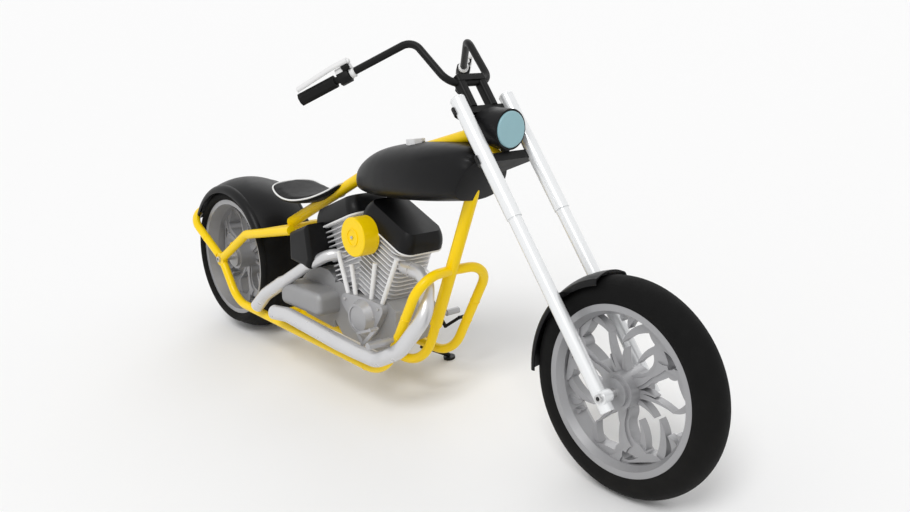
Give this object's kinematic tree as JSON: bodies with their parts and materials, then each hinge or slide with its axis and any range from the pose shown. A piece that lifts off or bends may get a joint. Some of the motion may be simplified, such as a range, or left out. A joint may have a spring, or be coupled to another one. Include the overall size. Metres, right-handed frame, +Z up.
{
  "type": "chopper motorcycle",
  "caption": "Long raked chopper with a rigid tube frame, finned V-twin, thorn-spoked wheels, steering fork, stretched tank and side stand.",
  "frame": {"origin": "centre of the bounding box, on the ground, with the machine leaning on its side stand", "axes": "+X forward, +Y to the rider's left, +Z up"},
  "size_m": [2.8921, 0.8095, 1.3338],
  "materials": {
    "frame_paint": "gloss",
    "body_paint": "gloss",
    "fork_white": "gloss",
    "black_metal": "satin",
    "white_metal": "satin",
    "wheel_alloy": "satin",
    "case_alloy": "satin",
    "fin_alloy": "satin",
    "exhaust_metal": "satin",
    "axle_steel": "satin",
    "tyre": "matte",
    "belt_rubber": "matte",
    "grip_rubber": "matte",
    "seat_leather": "matte",
    "lens_glass": "clear"
  },
  "bodies": {
    "chassis": {"air_cleaner": "frame_paint", "backbone_tube": "frame_paint", "brake_pedal": "black_metal", "cam_cover": "case_alloy", "down_tube": "frame_paint", "drive_belt": "belt_rubber", "engine_case": "case_alloy", "foot_peg_left": "black_metal", "foot_peg_right": "black_metal", "front_cylinder": "fin_alloy", "front_exhaust": "exhaust_metal", "front_rocker_cover": "body_paint", "fuel_cap": "white_metal", "fuel_tank": "body_paint", "gearbox": "case_alloy", "guard_loop_left": "frame_paint", "guard_loop_right": "frame_paint", "lower_rail_left": "frame_paint", "lower_rail_right": "frame_paint", "oil_tank": "body_paint", "primary_cover": "case_alloy", "pushrod_tubes": "white_metal", "rail_cross_tube": "frame_paint", "rear_axle": "axle_steel", "rear_cylinder": "fin_alloy", "rear_exhaust": "exhaust_metal", "rear_fender": "body_paint", "rear_hoop": "frame_paint", "rear_rocker_cover": "body_paint", "seat": "seat_leather", "shift_lever": "black_metal", "stand_lug": "frame_paint", "steering_neck": "frame_paint", "upper_stay_left": "frame_paint", "upper_stay_right": "frame_paint"},
    "steering": {"upper_clamp": "black_metal", "lower_clamp": "black_metal", "fork_upper_right": "fork_white", "fork_upper_left": "fork_white", "fork_lower_right": "fork_white", "fork_lower_left": "fork_white", "front_axle": "axle_steel", "front_fender": "body_paint", "handlebar": "black_metal", "bar_risers": "black_metal", "grip_right": "grip_rubber", "grip_left": "grip_rubber", "perch_right": "black_metal", "perch_left": "black_metal", "lever_right": "white_metal", "lever_left": "white_metal", "headlamp_shell": "body_paint", "headlamp_lens": "lens_glass"},
    "front_wheel": {"front_tyre": "tyre", "front_rim": "wheel_alloy"},
    "rear_wheel": {"rear_tyre": "tyre", "rear_rim": "wheel_alloy", "rear_pulley": "wheel_alloy"},
    "stand": {"side_stand": "black_metal"}
  },
  "joints": [
    {"name": "steering_turn", "type": "hinge", "parent": "chassis", "child": "steering", "pos_m": [0.49861, -0.00577, 0.98282], "axis": [-0.6115, 0.1238, 0.7815], "range_deg": [-32, 32]},
    {"name": "front_wheel_spin", "type": "hinge", "parent": "steering", "child": "front_wheel", "pos_m": [1.1071, -0.10827, 0.33561], "axis": [0, 0.9877, -0.1564], "continuous": true},
    {"name": "rear_wheel_spin", "type": "hinge", "parent": "chassis", "child": "rear_wheel", "pos_m": [-1.0899, -0.10823, 0.33593], "axis": [0, 0.9877, -0.1564], "continuous": true},
    {"name": "side_stand_fold", "type": "hinge", "parent": "chassis", "child": "stand", "pos_m": [-0.0699, 0.04304, 0.08923], "axis": [0.1016, 0.5537, 0.8265], "range_deg": [0, 96.9]}
  ]
}
